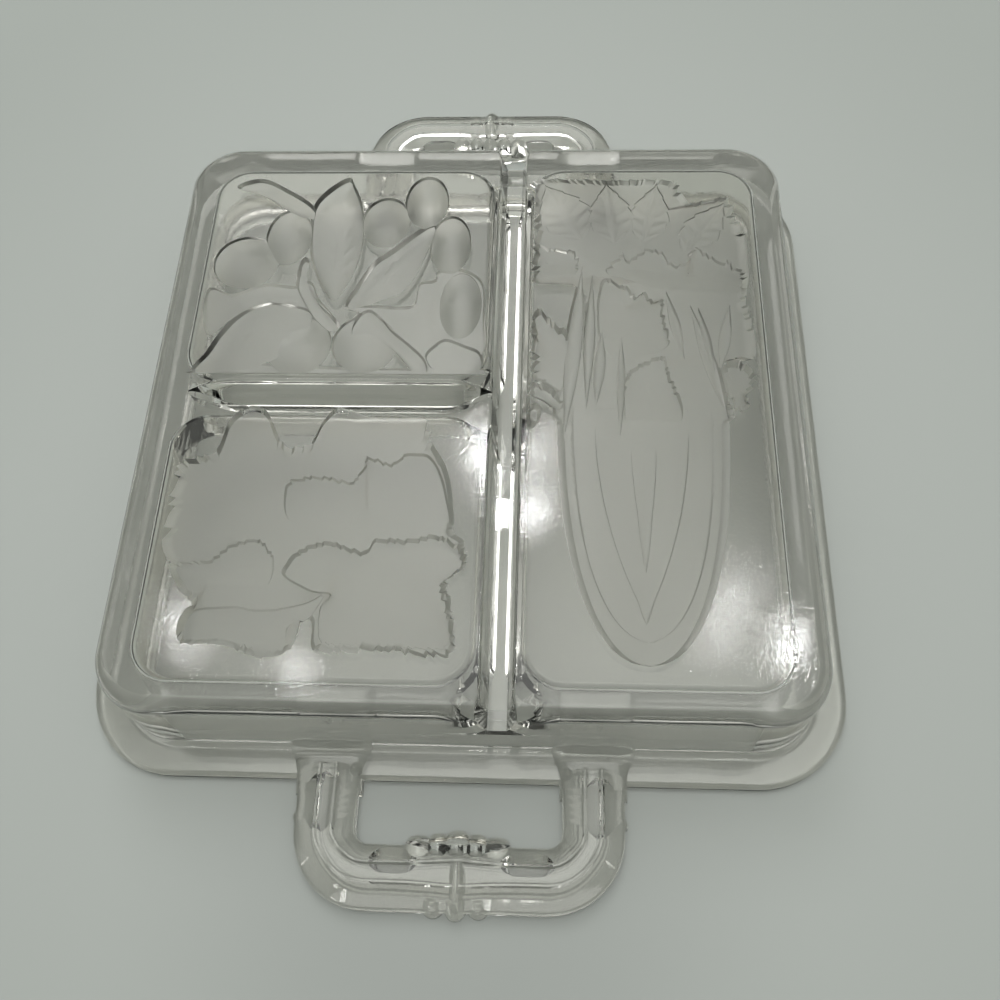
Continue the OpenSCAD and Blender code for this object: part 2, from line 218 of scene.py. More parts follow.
def pocket(name, room, facing):
    """A pocket: the leaning wall profile, a quarter round at the floor, and a bevel over its
    crests. facing lists the outward directions that have a divider; elsewhere the bevel fades."""
    x0, x1, y0, y1 = room
    edge = FLOOR_Z - FILLET_R
    top = CREST_Z + BEVEL
    # Heights lie close together round the bevel, where the profile turns.
    heights = [BELOW_Z, 8.0, CREST_Z - 0.3, CREST_Z + 1.2, CREST_Z + 2.6, top - 0.2,
               19.0, 23.0, 27.0]
    rows = [(inner_at(z), z) for z in heights]
    rows += quarter((inner_at(edge) - FILLET_R, edge), FILLET_R, 0, 90, 8).tolist()
    rows = np.array(rows)
    slope = inner_at(top) - 0.2 + top - rows[:, 1]
    cut = (rows[:, 1] > CREST_Z - 1) & (rows[:, 1] < top)
    extra = np.where(cut, np.maximum(slope - rows[:, 0], 0), 0)

    def lip_of(normal):
        """The bevel's extra distance, weighted by how far a station faces a divider."""
        face = np.max([normal @ np.array(d, float) for d in facing], 0)
        return extra[:, None] * smooth(face, 0.15, 0.75)[None, :]

    half = ((x1 - x0) / 2 - POCKET_R, (y1 - y0) / 2 - POCKET_R)
    return carried(name, ((x0 + x1) / 2, (y0 + y1) / 2), half, rows, arc=24, side=10, lift=lip_of)


cutters += [
    pocket("olive_pocket", ROOMS["olive"], [(1, 0), (0, -1)]),
    pocket("leaf_pocket", ROOMS["leaf"], [(1, 0), (0, 1)]),
    pocket("celery_pocket", ROOMS["celery"], [(-1, 0)]),
]
print("cutters", [c.name for c in cutters])

# %% [markdown]
# ## The dividers' hollows
#
# To keep the glass even, each divider is hollow from the base. The long hollow runs out through
# both end walls, where its sides flare. The cross hollow is drawn in at both ends like a boat.

# %% Long and cross hollow
GROOVE_HALF = 4.6  # half width at the base
GROOVE_DEEP = 3.1  # half width at the bottom
LIP_R = 1.2  # rounding where the hollow meets the base
MOUTH = 7  # length of the flare at each end wall
MOUTH_FLARE = 2.5  # how far each side swings out there
lip_arc = quarter((GROOVE_HALF + LIP_R, BASE_Z - LIP_R), LIP_R, 180, 90, 5)
groove_half = np.concatenate([
    quarter((GROOVE_DEEP - 0.3, GROOVE_Z + 0.3), 0.3, -90, 0, 3),
    [(3.6, 29.0), (4.15, 33.5)],
    lip_arc,
    [(GROOVE_HALF + LIP_R, BASE_Z + 1)],
])


def groove_section():
    """The whole section, up one side and down the other, as (offset, height) rows."""
    left = groove_half[::-1] * (-1, 1)
    return np.concatenate([groove_half, left])


def long_hollow():
    """The section carried along Y. Near each end its sides swing out by MOUTH_FLARE * way^1.3,
    most at the base and not at all at the bottom."""
    along = np.concatenate([
        [-WALL_Y - 3], np.linspace(-WALL_Y, -WALL_Y + 9, 13), np.linspace(-90, 90, 13),
        np.linspace(WALL_Y - 9, WALL_Y, 13), [WALL_Y + 3]])
    s = groove_section()
    way = np.clip((np.abs(along) - (WALL_Y - MOUTH)) / MOUTH, 0, 1.3) ** 1.3
    high = np.clip((s[:, 1] - GROOVE_Z) / (BASE_Z - GROOVE_Z), 0, 1)
    x = DIVIDER[0] + s[:, 0] + np.sign(s[:, 0]) * (MOUTH_FLARE * way[:, None] * high)
    y = np.broadcast_to(along[:, None], x.shape)
    z = np.broadcast_to(s[:, 1], x.shape)
    return skin("long_hollow", np.stack([x, y, z], -1))


def cross_hollow():
    """The section carried along X and drawn in near both ends by draw = sin(pi/2 * way in).
    Its width shrinks with draw^0.7 and its depth with 0.03 + 0.97 * draw^1.5."""
    x0, x1 = -97.6, DIVIDER[0] - GROOVE_HALF + 0.5
    end, reach = 16.0, 17.0
    t = np.sin(np.linspace(0, math.pi / 2, 16))
    along = np.concatenate([x0 + end * (1 - t[::-1]), np.linspace(x0 + end, x1 - reach, 8)[1:-1],
                            x1 - reach * (1 - t)])
    near = np.minimum((along - x0) / end, (x1 - along) / reach)
    draw = np.clip(np.sin(math.pi / 2 * np.clip(near, 0, 1)), 0.02, 1)
    s = groove_section()
    y = DIVIDER[1] + s[:, 0] * draw[:, None] ** 0.7
    x = np.broadcast_to(along[:, None], y.shape)
    deep = np.clip(BASE_Z - s[:, 1], 0, None)
    z = np.where(s[:, 1] > BASE_Z, s[:, 1], BASE_Z - deep * (0.03 + 0.97 * draw[:, None] ** 1.5))
    return skin("cross_hollow", np.stack([x, y, z], -1))


cutters += [long_hollow(), cross_hollow()]
print("cutters with the hollows", len(cutters))

# %% [markdown]
# ## The plants sunk into the base
#
# Olive branches, toothed leaves and a bunch of celery are the usual ornament of such trays. Each
# motif is one sunk form: a crisp outline, a steep edge, and a bottom that swells towards its
# middle line. Rings shrink from the outline to the middle line, so one formula draws them all.
# A cutter of this kind is a closed skin too, a little higher than the base that it is cut from.
# Where forms overlap, the deeper one wins and leaves a step, as on the real tray.

# %% One sunk form
DEEPER = 1.4  # one factor for all the depths below, to make the relief stronger or weaker
SIDE_LEAN = 0.8  # how far a form's side leans in on its way down
ABOVE = 0.6  # how far a cutter stands above the base
SHRINK = np.array([1.0, 1.0, 0.985, 0.94, 0.86, 0.74, 0.6, 0.45, 0.3, 0.15, 0.03])


def sunk(name, outline, middle, depth, shrink=SHRINK, side_lean=SIDE_LEAN):
    """Rings from the outline to the middle line: point = middle + (outline - middle) * shrink.
    The side leans in by side_lean, the first ring stands above the base, and depth(shrink)
    gives how deep each ring lies."""
    s = shrink[:, None]
    z = BASE_Z - DEEPER * depth(s)
    wide = np.hypot(*(outline - middle).T)
    lean = np.minimum(side_lean / np.maximum(wide, 0.1), 0.5)
    s = s * (1 - lean[None])
    s[0] = 1 + lean * ABOVE / (BASE_Z - z[1])
    z[0] = BASE_Z + ABOVE
    flat = middle + (outline - middle) * s[..., None]
    return skin(name, np.concatenate([flat, z[..., None]], -1))


def along_axis(base, tip, t):
    """Points at the shares t of a straight middle line, and the direction across it."""
    base, tip = np.array(base, float), np.array(tip, float)
    way = tip - base
    side = np.array([-way[1], way[0]]) / np.hypot(*way)
    return base + way * t[:, None], side


print("rings shrink by", SHRINK.tolist())

# %% [markdown]
# ### A leaf with veins
#
# The olive leaves and the tops of the celery have a midrib and side veins that stand up from the
# sunk form. They are soft ridges in the depth, so they need no mesh of their own.

# %% A leaf
def leaf(name, base, tip, half, deep, swell, veins, ridge, teeth=0, bite=0.22, belly=0.8,
         points=72):
    """A leaf: half width = half * sin(pi t^belly), cut by teeth, round a straight midrib.
    Depth = deep at the edge, swelling by swell to the middle, less the raised veins."""
    t = np.linspace(0, 1, points // 2 + 1)
    line, side = along_axis(base, tip, t)
    width = half * np.sin(math.pi * np.clip(t, 0, 1) ** belly)
    if teeth:
        saw = (t * teeth) % 1.0
        width = width * (1 - bite * saw) + 0.02
    width = np.maximum(width, 0.05)
    tt = np.concatenate([t, t[::-1][1:-1]])
    sign = np.concatenate([np.ones(len(t)), -np.ones(len(t) - 2)])
    mid = np.concatenate([line, line[::-1][1:-1]])
    wide = np.concatenate([width, width[::-1][1:-1]])
    outline = mid + side * (sign * wide)[:, None]

    def depth(s):
        """Edge depth, a swell, side veins that run forward, and the midrib."""
        vein = np.exp(-((((tt * veins - s * 0.9) % 1.0) - 0.5) / 0.11) ** 2) * smooth(s, 0.05, 0.25)
        rib = np.exp(-((s * wide) / 0.9) ** 2)
        fade = smooth(tt, 0.02, 0.12) * (1 - smooth(tt, 0.9, 1.0)) * (1 - smooth(s, 0.8, 0.98))
        middle = swell * (1 - s**2) * np.minimum(wide / half, 1)
        return deep + middle - ridge * fade * np.maximum(vein, rib)

    return sunk(name, outline, mid, depth)


print("rings of a leaf", len(SHRINK))

# %% [markdown]
# ### A broad form with saw teeth
#
# Most of the plants are broad areas whose outline bends, cuts in and bristles with teeth. A few
# points measured for place and size give the bends, and a saw wave along the curve gives the teeth.

# %% A broad form
SPAN_STEPS = 40  # fine points between two measured ones, before the curve is spaced evenly
PITCH = 2.2  # mm from tooth to tooth, for the smallest teeth
PITCH_MORE = 1.1  # added to it for each mm of bite


def patch(name, points, axis, deep, swell=0.1, side_lean=2.3, near=1.0):
    """A closed curve through a few points (Catmull-Rom). A point's third number is the bite, in
    mm, of the saw teeth that follow it; pitch = PITCH + PITCH_MORE * bite. The rings shrink to the
    nearest point of the axis. Like a roof tile, it is deepest at its far edge and rises to a
    share near of its depth at the edge that faces the front."""
    spots = np.array([pt[:2] for pt in points], float)
    bites = np.repeat([pt[2] if len(pt) > 2 else 0.0 for pt in points], SPAN_STEPS)
    p0, p1, p2, p3 = (np.roll(spots, k, 0)[:, None] for k in (1, 0, -1, -2))
    t = np.linspace(0, 1, SPAN_STEPS, endpoint=False)[None, :, None]
    fine = 0.5 * (2 * p1 + (p2 - p0) * t + (2 * p0 - 5 * p1 + 4 * p2 - p3) * t**2
                  + (3 * p1 - p0 - 3 * p2 + p3) * t**3)
    fine = fine.reshape(-1, 2)
    way = np.concatenate([[0], np.cumsum(np.hypot(*(np.roll(fine, -1, 0) - fine).T))])
    step = 0.62 if bites.any() else 1.6
    at = np.linspace(0, way[-1], max(24, int(way[-1] / step)), endpoint=False)
    closed = np.concatenate([fine, fine[:1]])
    curve = np.stack([np.interp(at, way, closed[:, k]) for k in (0, 1)], 1)
    bite = bites[np.clip(np.searchsorted(way, at, side="right") - 1, 0, len(bites) - 1)]
    ahead = np.roll(curve, -1, 0) - np.roll(curve, 1, 0)
    out = np.stack([ahead[:, 1], -ahead[:, 0]], 1) / np.hypot(*ahead.T)[:, None]
    area = np.sum(curve[:, 0] * np.roll(curve[:, 1], -1) - np.roll(curve[:, 0], -1) * curve[:, 1])
    turns = np.cumsum((at[1] - at[0]) / (PITCH + PITCH_MORE * bite))
    saw = (turns + 0.25 * np.sin(2.6 * turns)) % 1.0
    curve = curve - out * np.sign(area) * (bite * saw)[:, None]
    a, b = np.array(axis, float)
    along = np.clip((curve - a) @ (b - a) / max((b - a) @ (b - a), 1e-9), 0, 1)
    mid = a + along[:, None] * (b - a)
    low, high = curve[:, 1].min(), curve[:, 1].max()

    def depth(s):
        """Edge depth and swell, less what the tile rises towards the front."""
        y = mid[:, 1] + (curve[:, 1] - mid[:, 1]) * s
        tile = near + (1 - near) * smooth(y, low, low + 0.65 * (high - low))
        return (deep + swell * (1 - s**2)) * tile

    return sunk(name, curve, mid, depth, SHRINK[[0, 1, 3, 5, 7, 9, 10]], side_lean)


print("pitch of teeth that bite 1 mm", round(PITCH + PITCH_MORE, 1), "mm")

# %% [markdown]
# ### An olive
#
# An olive is the plainest form: an oval with a small step round it and a smooth bowl inside.

# %% An olive
def olive(name, centre, radii, deep, swell=1.1, points=48):
    """An ellipse with a small step and a bowl below it: depth = deep + swell * (1 - s^2)."""
    a = np.linspace(0, 2 * math.pi, points, endpoint=False)
    mid = np.broadcast_to(np.array(centre, float), (points, 2))
    ring = np.stack([radii[0] * np.cos(a), radii[1] * np.sin(a)], 1)
    return sunk(name, mid + ring, mid, lambda s: deep + swell * (1 - s**2) + 0 * a, side_lean=0.5)


print("sunk forms", [form.__name__ for form in (leaf, patch, olive)])

# %% [markdown]
# ### The olive branch
#
# Eight olives are bowls. Leaves and a thick twig lie deeper, and a shallow ground joins them, so
# that only a few small islands stay clear between them. Each row of the table is an outline, the
# two ends of its axis, its depth and how much its middle swells.

# %% Olives, leaves and twigs
plants = []
# centre, radii and depth of each olive
olives = [
    ((-84.9, 54.7), (12.2, 12.0), 0.7), ((-70.4, 66.6), (8.7, 13.0), 0.8),
    ((-34.8, 73.5), (9.1, 11.9), 0.8), ((-20.1, 83.2), (8.2, 12.6), 0.95),
    ((-10.2, 63.0), (7.6, 13.4), 0.8), ((-5.3, 36.0), (7.9, 14.7), 0.75),
    ((-61.6, 18.6), (11.8, 12.6), 0.75), ((-38.0, 19.1), (11.6, 12.3), 0.8),
]
plants += [olive(f"olive_{i}", c, r, 0.8 * d) for i, (c, r, d) in enumerate(olives)]
branch = [
    ([(-50.7, 95.6), (-57, 91), (-62.5, 83), (-63.2, 72), (-61.5, 58), (-57, 46), (-51, 37.5),
      (-46.5, 45), (-43.2, 57), (-42.6, 70), (-44.8, 83), (-48.5, 92)],
     ((-52, 48), (-52.5, 84)), 1.2, 0.5),
    ([(-46.5, 35.5), (-43, 45), (-38, 55), (-31, 61.5), (-24, 68.5), (-16.5, 73.5), (-17, 65),
      (-20, 55), (-22.5, 48), (-27, 41), (-34, 37.5), (-40, 35)], ((-40, 42), (-23, 62)), 1.3, 0.4),
    ([(-97.6, 7.2), (-94, 15), (-90, 24), (-84.5, 32), (-77, 37), (-68, 37), (-58, 33), (-60, 22),
      (-70, 12), (-84, 7.4)], ((-86, 16), (-68, 28)), 1.15, 0.2),
    ([(-93.5, 90.5), (-88.5, 94.4), (-82, 94.4), (-73, 89.2), (-64.5, 83), (-60, 76), (-66, 75.8),
      (-74.5, 80.4), (-82, 86)], ((-88, 91), (-66, 79)), 1.0, 0.2),
    ([(-64.5, 56), (-61.8, 56), (-61.2, 45), (-56.5, 37.4), (-50, 30.5), (-47.5, 26), (-50.5, 24),
      (-57, 29.5), (-62, 37), (-65.5, 45)], ((-63, 50), (-52, 28)), 1.35, 0.1),
    ([(-44, 24), (-42.5, 31), (-38, 34.6), (-33, 31), (-28.5, 25.5), (-22, 19.5), (-16.5, 13.5),
      (-15.5, 7.4), (-21, 8.2), (-25.5, 13.5), (-30.5, 18.5), (-38, 22.5)],
     ((-38, 28), (-20, 12)), 1.35, 0.2),
    ([(-13, 20.5), (-9.5, 22.2), (-3, 19.5), (2.6, 16.4), (3, 9), (-6, 7.6), (-14, 9), (-17, 15)],
     ((-9, 15), (-3, 12)), 1.3, 0.1),
    ([(-97, 43), (-88, 40.5), (-77, 45), (-66, 44), (-60, 46), (-56, 38), (-50, 30), (-58, 31),
      (-70, 35.5), (-80, 34), (-88, 28), (-93.5, 22), (-96.8, 30)],
     ((-88, 35), (-60, 38)), 0.45, 0.1),
    ([(-47, 34.5), (-36, 35.6), (-28, 35), (-22, 36), (-20.8, 42), (-20, 46), (-14.5, 47),
      (-14, 51), (-6, 52), (2, 46), (3.6, 30), (3.2, 14), (-8, 7.2), (-16, 7), (-24, 12),
      (-30, 22), (-38, 31)], ((-34, 31), (-6, 28)), 0.45, 0.1),
    ([(-96.5, 7.5), (-80, 11), (-60, 10), (-40, 9), (-20, 9), (3.4, 9), (3.4, 6.6), (-40, 6.3),
      (-94, 6.5)], ((-90, 8), (-2, 7.8)), 0.4, 0.0),
]
plants += [patch(f"branch_{i}", pts, ax, d, w, 0.9) for i, (pts, ax, d, w) in enumerate(branch)]
plants += [
    leaf("branch_veins", (-51.5, 41.0), (-51.5, 90.0), 7.5,
         deep=1.35, swell=0.5, veins=7, ridge=0.22),
    leaf("branch_veins_2", (-42.0, 39.0), (-19.0, 69.0), 5.5,
         deep=1.4, swell=0.4, veins=5, ridge=0.22),
    leaf("branch_veins_3", (-92.0, 12.0), (-66.0, 33.0), 7.0,
         deep=1.2, swell=0.2, veins=5, ridge=0.2),
]
print("olive branch", len(plants), "forms")

# %% [markdown]
# ### Toothed leaves
#
# The second panel is nearly covered by broad leaves with saw teeth. They lie over each other like
# tiles, and each nearer one is sunk a little deeper, so its far edge shows as a fine step.

# %% The spray of toothed leaves
spray = [
    ([(-96.6, -56, 3), (-96.8, -31, 1.4), (-91, -26.5, 1.4), (-84, -23.5), (-81, -12), (-75, -6.6),
      (-69, -8.6), (-63.5, -18.5, 1.4), (-58, -22, 1.4), (-52, -19.5), (-49, -12), (-44, -6.8),
      (-34, -10.5), (-25, -11), (-14.5, -11.4, 1.8), (-12, -20), (-7, -29), (-4.2, -40),
      (-3.4, -52), (0.8, -56.5, 1.8), (1.6, -64, 1.8), (-3.5, -70, 1.8), (-1.6, -79, 1.8),
      (-0.6, -88, 1.8), (-1.6, -94, 1.8), (-14, -94.2, 1.8), (-24, -91.5, 1.8), (-33, -94, 1.8),
      (-43.5, -93), (-45.2, -84), (-48.6, -82), (-51, -93, 1.8), (-60, -95.6, 1.8),
      (-72, -92, 1.8), (-86, -91, 1.4), (-84, -79, 1.4), (-89.5, -72.5, 1.4), (-93.5, -64)],
     ((-72, -48), (-28, -58)), 0.75),
    ([(-60.3, -35.2, 1.3), (-56, -32.4, 1.3), (-51.7, -31, 1.3), (-43.3, -31.6, 1.3),
      (-38.2, -33, 1), (-34.5, -27.7, 1), (-33.6, -23.4, 1.2), (-27, -25.6, 1.2),
      (-24, -25.6, 1.2), (-21.5, -23), (-17, -22.7), (-12.4, -23.6), (-8, -30), (-4.8, -40),
      (-4, -52), (-16, -57), (-40, -57), (-58, -50)], ((-46, -44), (-18, -42)), 1.15),
    ([(-57.3, -68), (-56.4, -63), (-54.6, -60, 0.9), (-51, -57, 0.9), (-42.4, -54.8, 0.9),
      (-31, -58), (-27.4, -53.6, 1.1), (-16.7, -53.6, 1.1), (-9.5, -51.8, 1.1), (-3.4, -54, 1.1),
      (0.6, -57.5, 1.2), (1.2, -64, 1.2), (-4.2, -70, 1.2), (-2.4, -79, 1.2), (-2, -92, 1),
      (-18, -93, 1), (-31, -92.4, 1), (-42, -91.6), (-43.6, -80), (-41, -75.4), (-48, -74)],
     ((-46, -66), (-14, -72)), 1.55),
    ([(-93, -64.9, 1.1), (-89, -63, 1.1), (-80.6, -61.2, 1.1), (-76, -57, 1.1), (-66, -54, 1.1),
      (-59.5, -60), (-58.5, -70), (-63, -76.4), (-74, -75.6), (-85, -76), (-89.5, -71.5)],
     ((-80, -68), (-66, -66)), 1.2),
    ([(-84.5, -79.6), (-71, -77.2), (-63.6, -78.2), (-55, -77.6), (-46.7, -76), (-41.5, -73.4),
      (-45.8, -82.5), (-51, -84), (-51.8, -93), (-60, -95), (-72, -91.4), (-85.6, -90.2)],
     ((-76, -85), (-58, -86)), 1),
]
# The first row is the ground. The others are tiles, a little deeper, that rise to half their depth.
plants += [patch(f"spray_{i}", pts, ax, d + 0.15 * (i > 0), 0.06, 1.9, 0.5 if i else 1.0)
           for i, (pts, ax, d) in enumerate(spray)]
print("with the spray", len(plants), "forms")

# %% [markdown]
# ### The bunch of celery
#
# Stalks run down to one round foot. The bunch is a shallow boat, and each pair of stalks inside
# it is a deeper one, so their edges nest like a letter V.

# %% Bunch and stalks
def boat(name, foot, top, half, deep, round_foot, points=80):
    """A bunch of stalks up from its foot. A round foot widens as (1 - (1 - t)^2.5)^0.45, a
    pointed one as sin(pi/2 t^0.78). Its depth fades by a third towards the top."""
    t = np.linspace(0, 1, points // 2 + 1) ** 1.6
    line, side = along_axis(foot, top, t)
    wave = (1 - (1 - t) ** 2.5) ** 0.45 if round_foot else np.sin(math.pi / 2 * t**0.78)
    width = np.maximum(half * wave, 0.05)
    mid = np.concatenate([line, line[::-1]])
    outline = mid + side * np.concatenate([width, -width[::-1]])[:, None]
    fade = 1 - 0.35 * smooth(np.concatenate([t, t[::-1]]), 0.75, 1.0)
    return sunk(name, outline, mid, lambda s: (deep + 0.12 * (1 - s**2)) * fade, side_lean=2.3)


plants += [
    boat("bunch", (57.2, -95.5), (57.8, 4.0), 28.6, 0.8, True),
    boat("bunch_inner", (57.4, -88.0), (57.6, 2.0), 25.4, 1.05, True),
    boat("stalks_outer", (57.0, -82.0), (57.4, -6.0), 17.8, 1.35, False),
    boat("stalks_inner", (57.4, -65.0), (58.0, -14.0), 6.4, 1.65, False),
]
# foot, tip, half width and depth of each single stalk
stalks = [
    ((38.0, 54.0), (31.5, -18.0), 3.3, 1.15), ((41.5, 50.0), (39.0, -6.0), 2.5, 1.35),
    ((44.8, 27.0), (42.3, -5.0), 2.6, 1.55), ((51.5, 24.0), (50.3, -16.0), 2.0, 1.5),
    ((67.6, 43.0), (72.8, 14.0), 2.3, 1.6), ((75.8, 37.0), (86.4, -10.0), 2.8, 1.3),
    ((78.5, 36.0), (83.0, 9.0), 1.9, 1.6), ((89.6, 37.0), (84.6, 9.0), 2.6, 1.3),
]
plants += [leaf(f"stalk_{i}", foot, tip, half, deep, swell=0.2, veins=0, ridge=0.0,
                belly=1.0, points=48)
           for i, (foot, tip, half, deep) in enumerate(stalks)]
print("with the bunch", len(plants), "forms")

# %% [markdown]
# ### The leaves on top of the celery
#
# They lie over the stalks' upper ends and reach the panel's edges. Four leaves with veins fill the
# far end, where the real tray shows the most detail.

# %% Tops of the celery
tops = [
    ([(19.6, 93.8, 1), (45, 94.2, 1), (71.5, 93.8, 1.8), (75, 87.5, 2.2), (80, 83.4, 2.2),
      (88, 85.4, 2), (93, 85.2, 2.4), (94.6, 77, 2.4), (97, 68), (97, 50), (95.6, 40, 0.9),
      (97, 26), (96.6, 14, 0.9), (91, 13.6, 0.9), (85.5, 10, 0.9), (87, -2, 0.9), (86, -12),
      (60, -18), (30, -13), (31, 8), (36, 24, 0.9), (36, 43, 0.9), (20.4, 45.8, 2.4),
      (19.8, 50, 2.4), (19.8, 80, 1.4)], ((56, 78), (60, 4)), 0.75),
    ([(19.8, 28, 1.2), (22.2, 35.2, 1.2), (28, 29, 1.2), (34, 23.8, 1.2), (38, 15, 1.2), (38, 2),
      (31, -1), (24, 3, 1), (19.8, 7, 2.6)], ((27, 14), (31, 10)), 1.1),
    ([(20, 64.3, 1.2), (26, 63.6, 1.2), (32, 63, 1.2), (36, 61.6, 1.2), (38, 56, 1.2), (37, 48),
      (35.5, 44.8), (28, 45.2), (20.2, 46.6, 2.4)], ((26, 55), (32, 54)), 1.3),
    ([(45.5, 53.6, 1.5), (50, 59.4, 1.5), (52.7, 62, 1.5), (55, 58.8, 1.5), (61, 63.4, 1.5),
      (67, 62, 1.5), (71, 56.6, 1.5), (75, 58, 1.5), (77, 62.6, 1.5), (79.7, 64.8, 1.5),
      (83, 61.4, 1.5), (88, 58, 1.5), (91, 58.2, 1.5), (94, 54, 1.5), (96.6, 52.8, 1.5),
      (96.8, 46, 1.5), (94.6, 39, 1.5), (88, 36), (78, 37), (68, 40), (60, 44), (52, 47.5),
      (46.5, 49.6)], ((54, 53), (88, 48)), 1.25),
    ([(45.5, 49.6, 1.2), (50, 47.8, 1.2), (55, 45.8, 1.2), (58, 41.3, 1.2), (60.3, 43.8, 1.2),
      (64.8, 38.8, 1.2), (67.6, 41, 1.2), (68, 32, 1.2), (69.5, 22), (66, 17), (57, 13), (51, 8),
      (46, 14), (42.5, 24), (42.5, 40)], ((52, 38), (56, 20)), 1.5),
    ([(50.5, 2, 0.9), (52, 8.5, 0.9), (56, 12.5, 0.9), (60, 14.6, 0.9), (66.4, 16.2, 0.9),
      (68.5, 9, 0.9), (71, 1), (72.6, -8), (70, -16), (60, -18), (52, -16)],
     ((60, 4), (61, -8)), 1.6),
    ([(85, 10.6, 1.5), (90.5, 13.8, 1.5), (93.6, 12, 1.5), (96.6, 9, 1.5), (96, 3, 1.5),
      (93.4, -1, 1.5), (93.4, -6, 1.5), (89.6, -8, 1.5), (86.4, -2)], ((89.5, 4), (91, 2)), 1.3),
    ([(19.4, -0.5, 1), (20.4, 4.2, 1), (23, 3.4, 1), (27, 2.6, 1), (30, -0.5, 1), (33, -4, 1),
      (30, -12, 1), (26, -5.4), (21.5, -2.4)], ((25, 0), (29, -5)), 1.2),
    ([(19.4, -9), (21, -4.8), (24, -6.4), (23, -12), (20, -15)], ((21, -8), (21.6, -11)), 1),
]
# Here too the first row is the ground, and the tiles rise to less than half their depth.
plants += [patch(f"celery_leaf_{i}", pts, ax, d + 0.1 * (i > 0), 0.08, 1.7, 0.45 if i else 1.0)
           for i, (pts, ax, d) in enumerate(tops)]
# foot, tip, half width, bite of the teeth and depth of each leaf with veins
TOP_LEAVES = [
    ((38.0, 66.0), (24.0, 92.5), 11.0, 0.14, 1.05),
    ((50.0, 64.0), (47.0, 93.5), 9.5, 0.14, 1.2),
    ((60.0, 64.0), (66.0, 93.0), 8.5, 0.14, 1.1),
    ((74.0, 60.0), (91.0, 84.0), 8.0, 0.16, 1.15),
]
plants += [leaf(f"top_leaf_{i}", foot, tip, half, deep, swell=0.2, veins=6, ridge=0.2,
                teeth=5, bite=bite)
           for i, (foot, tip, half, bite, deep) in enumerate(TOP_LEAVES)]
print("all plants", len(plants), "forms")

# %% [markdown]
# ## The handles
#
# Each handle is a crowned band with two fine ridges, carried out along one leg, across the bar
# and back. A band is a section carried along a path, so its ridges follow every turn.

# %% The band
LEG_X = 42.0  # middle of a leg, to each side
BAR_Y = 153.0  # middle of the bar, from the tray's middle
BEND_R = 14.2  # radius of the turn between leg and bar
BAND_HALF = 9.8  # half width of the band


def band_path():
    """The centre line as points and outward normals: leg, quarter turn, bar, turn and leg."""
    bx, by = LEG_X - BEND_R, -BAR_Y + BEND_R
    a = np.linspace(0, math.pi / 2, 15)
    leg_y = np.concatenate([np.linspace(-114.0, -118.2, 3), np.linspace(-118.5, -120.0, 5),
                            np.linspace(-122.0, by, 8)[:-1]])
    left = np.stack([np.full(len(leg_y), -LEG_X), leg_y], 1)
    left_n = np.tile([-1.0, 0.0], (len(leg_y), 1))
    turn_n = np.stack([-np.cos(a), -np.sin(a)], 1)
    turn = np.array([-bx, by]) + BEND_R * turn_n
    bar_x = np.linspace(-bx, bx, 43)[1:-1]
    bar = np.stack([bar_x, np.full(len(bar_x), -BAR_Y)], 1)
    bar_n = np.tile([0.0, -1.0], (len(bar_x), 1))
    flip = np.array([-1.0, 1.0])
    pts = np.concatenate([left, turn, bar, turn[::-1] * flip, left[::-1] * flip])
    nrm = np.concatenate([left_n, turn_n, bar_n, turn_n[::-1] * flip, left_n[::-1] * flip])
    return pts, nrm


def band():
    """A faceted section: two slopes up to two fine ridges and a hollow flat between them.
    The ridges draw apart a little on the bar and wander outwards at the shell."""
    pts, nrm = band_path()
    bar = smooth(-pts[:, 1], 140.0, 149.0)
    shell = np.exp(-((pts[:, 0] / 10.0) ** 2)) * bar
    inner = -2.9 - 1.1 * bar - 0.9 * shell
    outer = 2.4 - 0.8 * bar + 0.8 * shell
    flat = 0 * inner
    rows = [
        (9.45, 0.35), (9.8, 1.1), (9.8, 3.0), (9.5, 4.3), (8.8, 5.2), (0.45 * (8.8 + outer), 6.6),
        (outer + 0.8, 7.4), (outer + 0.3, 8.7), (outer - 0.3, 8.7), (outer - 0.8, 7.5),
        (0.5 * (outer + inner), 7.15), (inner + 0.8, 7.5), (inner + 0.3, 8.7), (inner - 0.3, 8.7),
        (inner - 0.8, 7.4), (0.48 * (inner - 8.8), 6.6), (-8.8, 5.2), (-9.5, 4.3), (-9.8, 3.0),
        (-9.8, 1.1), (-9.45, 0.35), (-8.6, 0.0), (0.0, 0.0), (8.6, 0.0),
    ]
    across = np.stack([flat + s for s, _ in rows], 1)
    height = np.stack([flat + z for _, z in rows], 1)
    start = 0.66 + 0.34 * smooth(-pts[:, 1], 118.4, 119.8)[:, None]
    height = np.where(height > 4, height * start, height)
    place = pts[:, None] + nrm[:, None] * across[..., None]
    return skin("band", np.concatenate([place, height[..., None]], -1))


print("the bar reaches out to", BAR_Y + BAND_HALF, "mm")

# %% [markdown]
# ### Ribs, roots and hollows
#
# A shell of flutes and beads sits on the middle of the bar. They and the small scrolls are all
# ribs with a round back. A root widens each leg into the rim. The underside has roof-shaped
# hollows, which show through the glass as panes with dark and bright edges.

